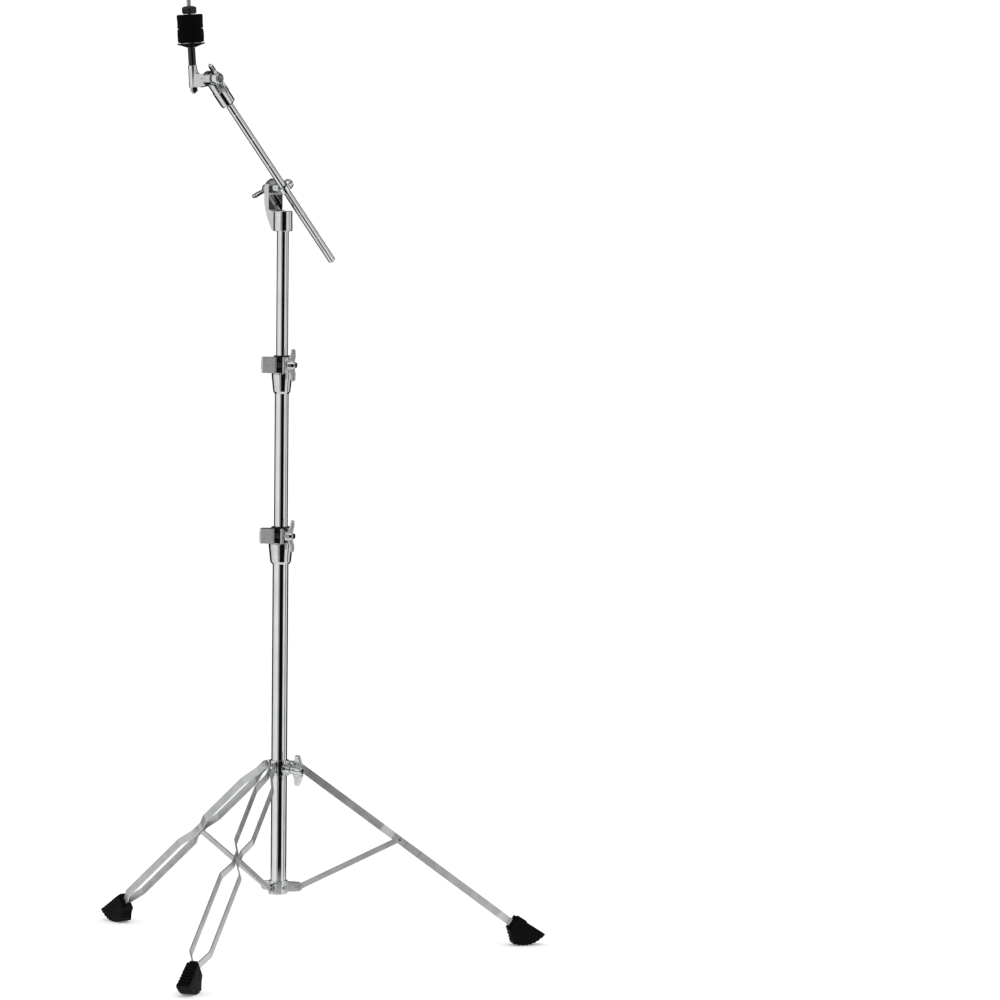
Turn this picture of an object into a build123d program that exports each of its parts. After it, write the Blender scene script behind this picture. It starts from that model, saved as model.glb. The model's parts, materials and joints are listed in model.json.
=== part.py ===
from build123d import *
import os
from math import asin, atan2, cos, degrees, hypot, radians, sin

# Cymbal boom stand on a double-braced folding tripod, millimetres.
# Origin: on the tube axis at floor level. +Z up, X to the right, Y to the back.

# ---- driving dimensions -------------------------------------------------
# tripod linkage, measured in one leg's own upright plane (distance from the tube axis, height)
LEG_AZIMUTHS = {"right": 11.0, "left": 131.0, "front": 251.0}
LEG_HINGE = (32.0, 301.0)
BRACE_HINGE = (32.0, 104.0)
MID_PIVOT = (197.3, 177.6)
FOLDED_LEG_ANGLE = 4.0

# telescoping tubes: outer radius, wall, bottom height, top height
TUBE_WALL = 1.2
BASE_R, BASE_BOTTOM, BASE_TOP = 12.7, 97.0, 650.0
MIDDLE_R, MIDDLE_BOTTOM, MIDDLE_TOP = 11.1, 446.0, 923.0
UPPER_R, UPPER_BOTTOM, UPPER_TOP = 9.525, 709.0, 1186.0

# leg straps: two flat bars per leg, joined at the hinge, the mid pivot and the foot
STRAP_WIDTH = 12.0
STRAP_THICK = 2.4
STRAP_CLOSE = 3.4
STRAP_UPPER_SPREAD = 14.0
STRAP_LOWER_SPREAD = 16.0
LEG_LENGTH = 442.0
JOGGLE = 25.0
RIVET_R = 2.5
RIVET_HEAD_R = 4.6
RIVET_HEAD_H = 1.8
HINGE_CLEARANCE = 0.06

# braces and lower hub
BRACE_WIDTH = 8.7
BRACE_THICK = 2.8
HUB_BOTTOM, HUB_TOP = 96.0, 117.0
HUB_R = 14.9
HUB_PLATE = 2.0
HUB_SLOT = 3.4

# tripod collar
COLLAR_BOTTOM, COLLAR_TOP = 287.0, 311.0
COLLAR_R = 15.8
LINER_R = 13.8
LUG_THICK = 3.8
WING_BOLT_AZIMUTH = 311.0

# clamp screws
SCREW_R = 4.0
SCREW_CLEARANCE = 0.06
RUNNING = 0.05

# boom clamp and boom rod
BOOM_AZIMUTH = -50.0
BOOM_AXIS_Z = 1224.6
BOOM_LEAN = 41.4
ROD_R = 6.0
ROD_OFFSET = 2.7
ROD_TAIL = 153.0
ROD_HEAD = 226.0
ROD_GROOVE_PITCH = 51.5

# cymbal tilter and stack
POST_OFFSET = -46.0
STACK_LEAN = 4.8
STACK_ROD_R = 3.0
FELT_R = 21.0
FELT_THICK = 22.0
FELT_BOTTOM = 56.8

# ---- worked out from the driving dimensions ----------------------------
LEG_REACH = MID_PIVOT[0] - LEG_HINGE[0]
LEG_ANGLE = degrees(atan2(LEG_REACH, LEG_HINGE[1] - MID_PIVOT[1]))
LEG_UPPER = hypot(LEG_REACH, LEG_HINGE[1] - MID_PIVOT[1])
BRACE_ANGLE = degrees(atan2(MID_PIVOT[0] - BRACE_HINGE[0], MID_PIVOT[1] - BRACE_HINGE[1]))
BRACE_LENGTH = hypot(MID_PIVOT[0] - BRACE_HINGE[0], MID_PIVOT[1] - BRACE_HINGE[1])
FOLDED_BRACE_ANGLE = degrees(asin(LEG_UPPER * sin(radians(FOLDED_LEG_ANGLE)) / BRACE_LENGTH))
COLLAR_TRAVEL = (
    LEG_UPPER * cos(radians(FOLDED_LEG_ANGLE))
    + BRACE_LENGTH * cos(radians(FOLDED_BRACE_ANGLE))
    - (LEG_HINGE[1] - BRACE_HINGE[1])
)

BOOM_FRAME = Plane(
    origin=(0, 0, BOOM_AXIS_Z),
    x_dir=(cos(radians(BOOM_AZIMUTH)), sin(radians(BOOM_AZIMUTH)), 0),
    z_dir=(0, 0, 1),
)
ROD_DIR = Vector(0, -sin(radians(BOOM_LEAN)), cos(radians(BOOM_LEAN)))
ROD_CROSSING = Vector(ROD_OFFSET, 0, 0)
TILTER_FRAME = Plane(
    origin=BOOM_FRAME.from_local_coords(ROD_CROSSING + ROD_DIR * ROD_HEAD),
    x_dir=BOOM_FRAME.x_dir,
    z_dir=(0, 0, 1),
)
STACK_FRAME = Plane(
    origin=TILTER_FRAME.from_local_coords(Vector(POST_OFFSET, 0, 0)),
    x_dir=BOOM_FRAME.x_dir,
    z_dir=TILTER_FRAME.from_local_coords(
        Vector(0, -sin(radians(STACK_LEAN)), cos(radians(STACK_LEAN)))
    )
    - TILTER_FRAME.origin,
)

LEG_FRAME = Plane(
    origin=(LEG_HINGE[0], 0, LEG_HINGE[1]),
    x_dir=(sin(radians(LEG_ANGLE)), 0, -cos(radians(LEG_ANGLE))),
    z_dir=(cos(radians(LEG_ANGLE)), 0, sin(radians(LEG_ANGLE))),
)
BRACE_FRAME = Plane(
    origin=(BRACE_HINGE[0], 0, BRACE_HINGE[1]),
    x_dir=(sin(radians(BRACE_ANGLE)), 0, cos(radians(BRACE_ANGLE))),
    z_dir=(0, -1, 0),
)

UP = (Align.CENTER, Align.CENTER, Align.MIN)


# ---- helpers -----------------------------------------------------------
def save(node, shape):
    """Write one node's solids to its own file."""
    export_step(shape, f"parts/{node}.step")


def rod_along(start, direction, radius, length):
    """A round bar from a point, along a direction."""
    return Plane(origin=start, z_dir=direction).location * Cylinder(radius, length, align=UP)


def turned(points):
    """A solid of revolution about Z from an outline of (radius, height) points."""
    return revolve(Plane.XZ * make_face(Polyline(*points, close=True)), Axis.Z)


def ring(inner, outer, bottom, top):
    """A plain tube between two heights."""
    return turned([(inner, bottom), (outer, bottom), (outer, top), (inner, top)])


def plate(points, thickness):
    """A flat plate in the XZ plane, centred on Y = 0."""
    return extrude(Plane.XZ * make_face(Polyline(*points, close=True)), thickness / 2, both=True)


def rivet(grip, radius, head_radius, head_height):
    """A pan-head rivet along Z, centred, that holds a stack of the given grip."""
    half = grip / 2
    top = half + head_height
    return turned(
        [
            (0, -top),
            (head_radius * 0.7, -top),
            (head_radius, -half - head_height * 0.4),
            (head_radius, -half),
            (radius, -half),
            (radius, half),
            (head_radius, half),
            (head_radius, half + head_height * 0.4),
            (head_radius * 0.7, top),
            (0, top),
        ]
    )


def half_rivet(inner, outer, radius, head_radius, head_height):
    """A rivet stub along Z that fills one strap's hole and has its head outside."""
    top = outer + head_height
    return turned(
        [
            (0, inner),
            (radius, inner),
            (radius, outer),
            (head_radius, outer),
            (head_radius, outer + head_height * 0.4),
            (head_radius * 0.7, top),
            (0, top),
        ]
    )


def wing_nut(hub_r, hub_length, half_span, wing_low, tip_start, tip_width, thickness):
    """A wing nut along +Z from Z = 0, with its wings along X starting wing_low up the hub."""
    tip_end = tip_start + tip_width
    wing = [
        (hub_r - 1.5, wing_low),
        (half_span * 0.6, wing_low + 0.72 * (tip_start - wing_low)),
        (half_span - 1.5, tip_start),
        (half_span, tip_start + 2.0),
        (half_span, tip_end - 2.5),
        (half_span - 2.5, tip_end),
        (half_span * 0.55, (hub_length - 1.0 + tip_end) / 2 + 0.8),
        (hub_r, hub_length - 1.0),
    ]
    outline = wing + [(-x, z) for x, z in reversed(wing)]
    hub = turned(
        [
            (0, 0),
            (hub_r - 1.0, 0),
            (hub_r, 1.2),
            (hub_r - 1.2, hub_length - 2.0),
            (hub_r - 2.6, hub_length),
            (0, hub_length),
        ]
    )
    bore = Cylinder(SCREW_R + SCREW_CLEARANCE, hub_length, align=UP)
    return hub + plate(outline, thickness) - bore


def around_tripod(shape, offset=0.0):
    """Three copies of a shape, one for each leg, turned on by an offset."""
    copies = [Rot(0, 0, azimuth + offset) * shape for azimuth in LEG_AZIMUTHS.values()]
    return Compound(children=copies)


# ---- tubes -------------------------------------------------------------
def tubes():
    save("base_tube", ring(BASE_R - TUBE_WALL, BASE_R, BASE_BOTTOM, BASE_TOP))
    save("middle_tube", ring(MIDDLE_R - TUBE_WALL, MIDDLE_R, MIDDLE_BOTTOM, MIDDLE_TOP))
    save("upper_tube", ring(UPPER_R - TUBE_WALL, UPPER_R, UPPER_BOTTOM, UPPER_TOP))
    for node, radius, bottom in (
        ("base_tube_plug", BASE_R, BASE_BOTTOM),
        ("middle_tube_plug", MIDDLE_R, MIDDLE_BOTTOM),
        ("upper_tube_plug", UPPER_R, UPPER_BOTTOM),
    ):
        save(node, tube_plug(radius, bottom))


def tube_plug(radius, bottom):
    """A plastic plug pressed into a tube's lower end, with a lip under the rim."""
    inner = radius - TUBE_WALL
    return turned(
        [
            (0, bottom - 2.0),
            (radius - 0.8, bottom - 2.0),
            (radius - 0.2, bottom - 1.2),
            (radius - 0.2, bottom),
            (inner, bottom),
            (inner, bottom + 10.0),
            (0, bottom + 10.0),
        ]
    )


# ---- lower hub and braces ----------------------------------------------
def lower_hub():
    """The band round the tube's foot, with a pair of ears for each brace."""
    radius, height = BRACE_HINGE
    band = ring(BASE_R, HUB_R, HUB_BOTTOM, HUB_TOP)
    ear = plate(
        [(HUB_R - 1.0, 98.0), (radius, 98.0), (radius, 113.0), (HUB_R - 1.0, 114.5)],
        HUB_SLOT + 2 * HUB_PLATE,
    )
    nose = Pos(radius, 0, height + 1.5) * Rot(90, 0, 0) * Cylinder(7.5, HUB_SLOT + 2 * HUB_PLATE)
    slot = Pos(radius, 0, height) * Box(2 * (radius - HUB_R), HUB_SLOT, 60)
    pin_hole = Pos(radius, 0, height) * Rot(90, 0, 0) * Cylinder(RIVET_R, 30)
    ears = ear + nose - slot - pin_hole
    hub = band
    for azimuth in LEG_AZIMUTHS.values():
        hub += Rot(0, 0, azimuth) * ears
    for azimuth in LEG_AZIMUTHS.values():
        hub -= Rot(0, 0, azimuth + 60) * Pos(BASE_R + 1, 0, height + 1) * Rot(0, 90, 0) * Cylinder(2, 8)
    save("lower_hub", hub)

    grip = HUB_SLOT + 2 * HUB_PLATE
    pin = Pos(radius, 0, height) * Rot(90, 0, 0) * rivet(grip, RIVET_R, RIVET_HEAD_R, RIVET_HEAD_H)
    save("hub_hinge_rivets", around_tripod(pin))
    band_head = Pos(BASE_R, 0, height + 1) * Rot(0, 90, 0) * half_rivet(0, HUB_R - BASE_R, 2.0, 3.6, 1.6)
    save("hub_band_rivets", around_tripod(band_head, 60.0))


def braces():
    """Flat links from the lower hub to the middle of each leg."""
    sketch = Pos(BRACE_LENGTH / 2, 0) * Rectangle(BRACE_LENGTH, BRACE_WIDTH)
    for end in (0, BRACE_LENGTH):
        sketch += Pos(end, 0) * Circle(5.6)
        sketch -= Pos(end, 0) * Circle(RIVET_R + HINGE_CLEARANCE)
    link = BRACE_FRAME.location * extrude(sketch, BRACE_THICK / 2, both=True)
    for side, azimuth in LEG_AZIMUTHS.items():
        save(f"brace_{side}", Rot(0, 0, azimuth) * link)


# ---- tripod collar -----------------------------------------------------
def tripod_collar():
    """The sliding collar that carries the three leg hinges and the wing bolt."""
    radius, height = LEG_HINGE
    collar = ring(LINER_R, COLLAR_R, COLLAR_BOTTOM, COLLAR_TOP)
    lug = plate(
        [
            (COLLAR_R - 1.0, COLLAR_BOTTOM + 4),
            (radius - 3, height - 7),
            (radius, height - 7),
            (radius, height + 7),
            (COLLAR_R - 1.0, COLLAR_TOP - 1),
        ],
        LUG_THICK,
    )
    lug += Pos(radius, 0, height) * Rot(90, 0, 0) * Cylinder(7.0, LUG_THICK)
    lug -= Pos(radius, 0, height) * Rot(90, 0, 0) * Cylinder(RIVET_R + HINGE_CLEARANCE, 20)
    for azimuth in LEG_AZIMUTHS.values():
        collar += Rot(0, 0, azimuth) * lug

    turn = Rot(0, 0, WING_BOLT_AZIMUTH)
    bolt_z = COLLAR_TOP - 13.0
    boss = turned([(0, 0), (8.0, 0), (8.0, 12.0), (7.0, 17.0), (0, 17.0)])
    collar += turn * Pos(COLLAR_R - 1.2, 0, bolt_z) * Rot(0, 90, 0) * boss
    collar -= Cylinder(LINER_R, 60, align=UP).moved(Location((0, 0, COLLAR_BOTTOM - 10)))
    collar -= turn * rod_along((LINER_R - 2, 0, bolt_z), (1, 0, 0), SCREW_R + SCREW_CLEARANCE, 40)
    save("tripod_collar", collar)

    liner = ring(BASE_R + RUNNING, LINER_R, COLLAR_BOTTOM + 0.5, COLLAR_TOP - 0.5)
    liner -= turn * rod_along((5, 0, bolt_z), (1, 0, 0), SCREW_R + 1.0, 30)
    save("tripod_collar_liner", liner)

    stud = turn * rod_along((BASE_R + 0.4, 0, bolt_z), (1, 0, 0), SCREW_R, 38)
    save("tripod_wing_bolt_stud", stud)
    handle = turn * Plane(origin=(32.6, 0, bolt_z), x_dir=(0, 0, 1), z_dir=(1, 0, 0)).location * wing_nut(
        8.0, 25.0, 24.5, 2.0, 7.0, 10.5, 6.0
    )
    handle -= stud
    save("tripod_wing_bolt_handle", handle)


# ---- legs --------------------------------------------------------------
def strap(side):
    """One flat bar of a leg in the leg's own frame: X down the leg, Y across it."""
    mid = LEG_UPPER
    stations = [
        (-6.0, STRAP_CLOSE),
        (20.0, STRAP_CLOSE),
        (20.0 + JOGGLE + 5.0, STRAP_UPPER_SPREAD),
        (mid - 13.0 - JOGGLE, STRAP_UPPER_SPREAD),
        (mid - 13.0, STRAP_CLOSE),
        (mid + 13.0, STRAP_CLOSE),
        (mid + 13.0 + JOGGLE, STRAP_LOWER_SPREAD),
        (LEG_LENGTH - 5.0 - JOGGLE, STRAP_LOWER_SPREAD),
        (LEG_LENGTH - 5.0, STRAP_CLOSE),
        (LEG_LENGTH + 18.0, STRAP_CLOSE),
    ]
    path = FilletPolyline(*[(x, side * y) for x, y in stations], radius=7.0)
    section = Plane(origin=(stations[0][0], side * STRAP_CLOSE, 0), x_dir=(0, 1, 0), z_dir=(1, 0, 0))
    bar = sweep(section * Rectangle(STRAP_THICK, STRAP_WIDTH), path=path)
    hinge_end = bar.edges().filter_by(Axis.Y).sort_by(Axis.X)[:2]
    bar = fillet(hinge_end, STRAP_WIDTH / 2 - 0.2)
    for station in (0.0, mid):
        bar -= Pos(station, 0, 0) * Rot(90, 0, 0) * Cylinder(RIVET_R, 60)
    return bar


def foot():
    """The rubber foot in the leg's upright plane: a wedge with a rounded sole."""
    sole_centre = (405.0, 45.0)
    heel_angle = radians(270 - 24)
    heel = (
        sole_centre[0] + sole_centre[1] * cos(heel_angle),
        sole_centre[1] + sole_centre[1] * sin(heel_angle),
    )
    toe = (sole_centre[0] + 36.0, sole_centre[1] - 27.0)
    outline = [
        Line((380.0, 25.5), (396.0, 47.0)),
        Line((396.0, 47.0), toe),
        ThreePointArc(toe, (sole_centre[0], 0.0), heel),
        Line(heel, (380.0, 25.5)),
    ]
    body = extrude(Plane.XZ * make_face(outline), 11.5, both=True)
    body = fillet(body.edges().filter_by(Axis.Y), 2.0)
    body = fillet(body.faces().sort_by(Axis.Y)[0].edges() + body.faces().sort_by(Axis.Y)[-1].edges(), 1.8)
    slot_length = 19.0
    slot = LEG_FRAME.location * Pos(LEG_LENGTH + slot_length / 2 - 3.0, 0, 0) * Box(
        slot_length + 6.0,
        2 * (STRAP_CLOSE + STRAP_THICK / 2),
        STRAP_WIDTH,
    )
    return body - slot


def legs():
    """Straps, rivets and foot of each leg."""
    close_outer = STRAP_CLOSE + STRAP_THICK / 2
    close_inner = STRAP_CLOSE - STRAP_THICK / 2
    hinge_rivet = Rot(90, 0, 0) * rivet(2 * close_outer, RIVET_R, RIVET_HEAD_R, RIVET_HEAD_H)
    stub = half_rivet(close_inner, close_outer, RIVET_R, RIVET_HEAD_R - 0.6, RIVET_HEAD_H - 0.4)
    stubs = [Pos(LEG_UPPER, 0, 0) * Rot(turn, 0, 0) * stub for turn in (-90, 90)]
    straps = {"a": LEG_FRAME.location * strap(1), "b": LEG_FRAME.location * strap(-1)}
    rivets = [LEG_FRAME.location * part for part in (hinge_rivet, *stubs)]
    rubber = foot()
    for side, azimuth in LEG_AZIMUTHS.items():
        turn = Rot(0, 0, azimuth)
        for letter, bar in straps.items():
            save(f"leg_{side}_strap_{letter}", turn * bar)
        save(f"leg_{side}_rivets", Compound(children=[turn * part for part in rivets]))
        save(f"leg_{side}_foot", turn * rubber)


# ---- height clamps -----------------------------------------------------
def height_clamp(name, tube_r, tube_top, inner_r, cup, ring_r, block_top, azimuth, wings):
    """A tube clamp: tapered cup on the lower tube, split ring with two ears, screw and wing nut.

    cup is (bottom height, top height, bottom radius, top radius).
    wings is (where the wings leave the hub, where their tips start, their width at the tip).
    azimuth is where the ears point. Built with the ears towards -Y, then turned.
    """
    cup_bottom, cup_top, cup_r0, cup_r1 = cup
    liner_r = inner_r + 2.2
    block_bottom = cup_top + 1.0
    middle = (block_bottom + block_top) / 2
    height = block_top - block_bottom
    body = turned(
        [
            (tube_r, cup_bottom),
            (cup_r0 - 2.5, cup_bottom),
            (cup_r0, cup_bottom + 3.5),
            (cup_r1, cup_top - 2.0),
            (cup_r1 - 0.6, cup_top),
            (ring_r, cup_top),
            (ring_r, block_top - 1.0),
            (ring_r - 1.0, block_top),
            (liner_r + 0.08, block_top),
            (liner_r + 0.08, tube_top),
            (tube_r, tube_top),
        ]
    )
    ear_y, ear_depth = -18.5, 22.0
    gap = 9.6
    block = Pos(-(gap / 2 + 12.0), ear_y, middle) * Box(24.0, ear_depth, height)
    block = fillet(block.edges().filter_by(Axis.Z), 2.0)
    ear = Pos(gap / 2 + 2.6, ear_y, middle) * Box(5.2, ear_depth, height)
    ear = fillet(ear.edges().filter_by(Axis.Z), 1.6)
    body += block + ear
    body -= Pos(0, 0, middle) * Cylinder(liner_r + 0.08, height + 0.2)
    body -= Pos(0, ear_y, middle) * Box(gap, ear_depth + 2, height + 0.2)
    screw_y = -20.5
    body -= Pos(gap / 2 + 5.2 + 10.0, screw_y, middle) * Box(20.0, 17.0, height)
    body -= rod_along((-40, screw_y, middle), (1, 0, 0), SCREW_R + SCREW_CLEARANCE, 80)
    head_pocket = Pos(-(gap / 2 + 24.0), screw_y, middle) * Box(9.2, 13.2, 13.2)
    body -= head_pocket

    turn = Rot(0, 0, azimuth + 90)
    save(f"{name}_clamp_body", turn * body)
    head = Pos(-(gap / 2 + 24.0 - 2.0), screw_y, middle) * Box(5.0, 13.0, 13.0)
    screw_end = 27.0
    head_x = -(gap / 2 + 24.0 - 4.5)
    screw = head + rod_along((head_x, screw_y, middle), (1, 0, 0), SCREW_R, screw_end - head_x)
    save(f"{name}_clamp_screw", turn * screw)
    nut_frame = Plane(origin=(gap / 2 + 5.6, screw_y, middle), x_dir=(0, 0, 1), z_dir=(1, 0, 0))
    save(f"{name}_clamp_wing_nut", turn * nut_frame.location * wing_nut(7.6, 14.5, 26.0, *wings, 5.5))
    bush = ring(inner_r + RUNNING, liner_r, tube_top + 0.4, block_top + 0.2)
    bush += ring(inner_r + RUNNING, liner_r + 1.4, block_top + 0.5, block_top + 2.0)
    bush += ring(inner_r + RUNNING, liner_r, block_top, block_top + 0.6)
    save(f"{name}_clamp_bushing", bush)


def height_clamps():
    height_clamp(
        "lower",
        tube_r=BASE_R,
        tube_top=BASE_TOP,
        inner_r=MIDDLE_R,
        cup=(626.0, 659.0, 16.6, 19.6),
        ring_r=18.0,
        block_top=684.0,
        azimuth=-101.0,
        wings=(4.2, 9.8, 5.8),
    )
    height_clamp(
        "upper",
        tube_r=MIDDLE_R,
        tube_top=MIDDLE_TOP,
        inner_r=UPPER_R,
        cup=(898.0, 930.5, 13.8, 16.6),
        ring_r=15.6,
        block_top=957.0,
        azimuth=-98.0,
        wings=(1.5, 7.0, 7.0),
    )


# ---- boom clamp --------------------------------------------------------
ARM_OUT, ARM_IN = -29.4, -18.6
ARM_HALF = 14.5
DRUM_R = 10.5
CUP_R = 15.2
CUP_BOTTOM, CUP_TOP = 1156.5 - BOOM_AXIS_Z, 1189.0 - BOOM_AXIS_Z


def boom_bracket():
    """The cast bracket: a cup on the upper tube and an arm that rises to the tilt axis."""
    bore_top = UPPER_TOP - BOOM_AXIS_Z
    cup = turned(
        [
            (0, CUP_BOTTOM),
            (CUP_R - 0.8, CUP_BOTTOM),
            (CUP_R, CUP_BOTTOM + 0.8),
            (CUP_R, CUP_TOP - 1.5),
            (CUP_R - 1.5, CUP_TOP),
            (0, CUP_TOP),
        ]
    )
    outer = Spline(
        (ARM_OUT, -16.0),
        (-28.4, -28.0),
        (-25.4, -41.0),
        (-20.6, -54.0),
        (-13.6, CUP_BOTTOM + 1.0),
        tangents=[(0, -1), (0.5, -0.85)],
    )
    rest = Polyline(
        (-13.6, CUP_BOTTOM + 1.0),
        (-5.0, CUP_BOTTOM + 1.0),
        (-5.0, CUP_TOP - 1.5),
        (ARM_IN, CUP_TOP + 1.5),
        (ARM_IN, 0.0),
        (ARM_OUT, 0.0),
        (ARM_OUT, -16.0),
    )
    arm = extrude(Plane.XZ * make_face([outer, rest]), ARM_HALF, both=True)
    front = Polyline(
        (-ARM_HALF, 1.0),
        (-ARM_HALF, -28.0),
        (-11.0, CUP_BOTTOM - 1.0),
        (11.0, CUP_BOTTOM - 1.0),
        (ARM_HALF, -28.0),
        (ARM_HALF, 1.0),
        close=True,
    )
    arm &= extrude(Plane.YZ * make_face(front), -60.0)
    upright = rod_along((ARM_OUT, 0, 0), (1, 0, 0), ARM_HALF, ARM_IN - ARM_OUT)
    bracket = cup + arm + upright
    bracket -= Pos(0, 0, CUP_BOTTOM - 1) * Cylinder(UPPER_R, bore_top - CUP_BOTTOM + 1, align=UP)
    bracket -= rod_along((ARM_OUT - 5, 0, 0), (1, 0, 0), SCREW_R + SCREW_CLEARANCE, 40)
    screw_hole = Rot(0, 0, 32) * rod_along((UPPER_R, 0, CUP_BOTTOM + 7), (1, 0, 0), 2.5, 12)
    save("boom_bracket", BOOM_FRAME.location * (bracket - screw_hole))
    grub = Rot(0, 0, 32) * rod_along((UPPER_R, 0, CUP_BOTTOM + 7), (1, 0, 0), 2.5, CUP_R - UPPER_R + 0.6)
    save("boom_bracket_screw", BOOM_FRAME.location * grub)
    fixed = rod_along((ARM_IN, 0, 0), (1, 0, 0), DRUM_R, 3.0)
    fixed -= rod_along((ARM_IN - 1, 0, 0), (1, 0, 0), SCREW_R + SCREW_CLEARANCE, 8)
    save("boom_ratchet_fixed", BOOM_FRAME.location * fixed)
    washer = Plane(origin=(ARM_OUT, 0, 0), z_dir=(-1, 0, 0)).location * ring(
        SCREW_R + SCREW_CLEARANCE, 8.5, 0, 1.5
    )
    save("boom_washer", BOOM_FRAME.location * washer)


def boom_tilter():
    """The turning drum, the eye bolt that grips the rod, its sleeve and the wing nut."""
    drum_start = ARM_IN + 3.4
    eye_half = 4.5
    drum_end = -0.6
    drum = rod_along((drum_start, 0, 0), (1, 0, 0), DRUM_R, drum_end - drum_start)
    drum = fillet(drum.edges().sort_by(Axis.X)[-1], 1.0)
    groove = rod_along(ROD_CROSSING - ROD_DIR * 40, ROD_DIR, ROD_R + SCREW_CLEARANCE, 80)
    eye_ring = rod_along(ROD_CROSSING - ROD_DIR * eye_half, ROD_DIR, 10.2, 2 * eye_half)
    drum -= groove
    drum -= eye_ring
    drum -= rod_along(ROD_CROSSING - ROD_DIR * (eye_half + 0.6), ROD_DIR, 7.4, 2 * eye_half + 1.2)
    drum -= rod_along((-60, 0, 0), (1, 0, 0), SCREW_R, 70)

    across = Vector(0, cos(radians(BOOM_LEAN)), sin(radians(BOOM_LEAN)))
    knob_dir = Vector(1, 0, 0) * 0.08 + across
    knob = Plane(origin=ROD_CROSSING, z_dir=knob_dir).location * turned(
        [(0, 0), (8.4, 5.5), (8.7, 9.5), (7.6, 14.0), (4.6, 16.6), (0, 17.4)]
    )
    stud_end = -48.0
    bolt = eye_ring + knob
    bolt += rod_along((stud_end, 0, 0), (1, 0, 0), SCREW_R, -stud_end - 4.0)
    bolt -= rod_along(ROD_CROSSING - ROD_DIR * 40, ROD_DIR, 7.0 + SCREW_CLEARANCE, 80)
    save("boom_eye_bolt", BOOM_FRAME.location * bolt)
    save("boom_ratchet_drum", BOOM_FRAME.location * (drum - knob))
    save("boom_rod_sleeve", BOOM_FRAME.location * rod_sleeve(eye_half - 0.1))

    wing_dir = (0, -cos(radians(35)), -sin(radians(35)))
    nut_frame = Plane(origin=(ARM_OUT - 1.8, 0, 0), x_dir=wing_dir, z_dir=(-1, 0, 0))
    nut = nut_frame.location * wing_nut(8.0, 15.5, 25.5, 3.0, 12.5, 10.5, 5.5)
    save("boom_wing_nut", BOOM_FRAME.location * nut)


def rod_sleeve(half):
    """The thin plastic sleeve in the eye, which the rod slides and turns in."""
    outer = rod_along(ROD_CROSSING - ROD_DIR * half, ROD_DIR, 7.0, 2 * half)
    return outer - rod_along(ROD_CROSSING - ROD_DIR * 40, ROD_DIR, ROD_R + RUNNING, 80)


def boom_rod():
    """The boom rod, with shallow marking grooves along it."""
    length = ROD_TAIL + ROD_HEAD - 22.0
    outline = [(0, 0), (ROD_R - 0.8, 0), (ROD_R, 0.8)]
    groove_count = int((ROD_TAIL + 160) / ROD_GROOVE_PITCH)
    first = ROD_TAIL - 2 * ROD_GROOVE_PITCH
    for index in range(groove_count):
        at = first + index * ROD_GROOVE_PITCH
        outline += [(ROD_R, at - 1.2), (ROD_R - 0.45, at - 0.7), (ROD_R - 0.45, at + 0.7), (ROD_R, at + 1.2)]
    outline += [(ROD_R, length), (0, length)]
    shape = Plane(origin=ROD_CROSSING - ROD_DIR * ROD_TAIL, z_dir=ROD_DIR).location * turned(outline)
    save("boom_rod", BOOM_FRAME.location * shape)


# ---- cymbal tilter -----------------------------------------------------
HEAD_R = 12.0
SOCKET_R = 12.3
ARM_FACE = -4.0
SOCKET_IN, SOCKET_OUT = -3.6, 8.8


def boom_socket():
    """The socket on the boom rod's upper end, with the round head that the tilter turns on."""
    bottom, shoulder = 51.0, 20.0
    barrel = Plane(origin=ROD_DIR * -bottom, z_dir=ROD_DIR).location * turned(
        [
            (0, 0),
            (SOCKET_R - 2.0, 0),
            (SOCKET_R, 2.5),
            (SOCKET_R, bottom - shoulder - 4.0),
            (SOCKET_R - 3.0, bottom - shoulder),
            (0, bottom - shoulder),
        ]
    )
    neck = rod_along(ROD_DIR * -bottom, ROD_DIR, SOCKET_R - 0.4, bottom)
    thick = SOCKET_OUT - SOCKET_IN
    slab = Pos((SOCKET_IN + SOCKET_OUT) / 2, 0, 0) * Box(thick, 140, 140)
    head = rod_along((SOCKET_IN, 0, 0), (1, 0, 0), HEAD_R, thick)
    socket = barrel + (neck & slab) + head
    socket -= rod_along(ROD_DIR * -(bottom + 5), ROD_DIR, ROD_R, bottom + 5 - 22.0)
    socket -= rod_along((-30, 0, 0), (1, 0, 0), SCREW_R + SCREW_CLEARANCE, 60)
    screw_at = ROD_DIR * -36.0
    side = Vector(0, -cos(radians(BOOM_LEAN)), -sin(radians(BOOM_LEAN)))
    socket -= rod_along(screw_at + side * ROD_R, side, 2.0, 20)
    save("boom_socket", TILTER_FRAME.location * socket)
    grub = rod_along(screw_at + side * ROD_R, side, 2.0, SOCKET_R - ROD_R + 0.3)
    save("boom_socket_screw", TILTER_FRAME.location * grub)


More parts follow.
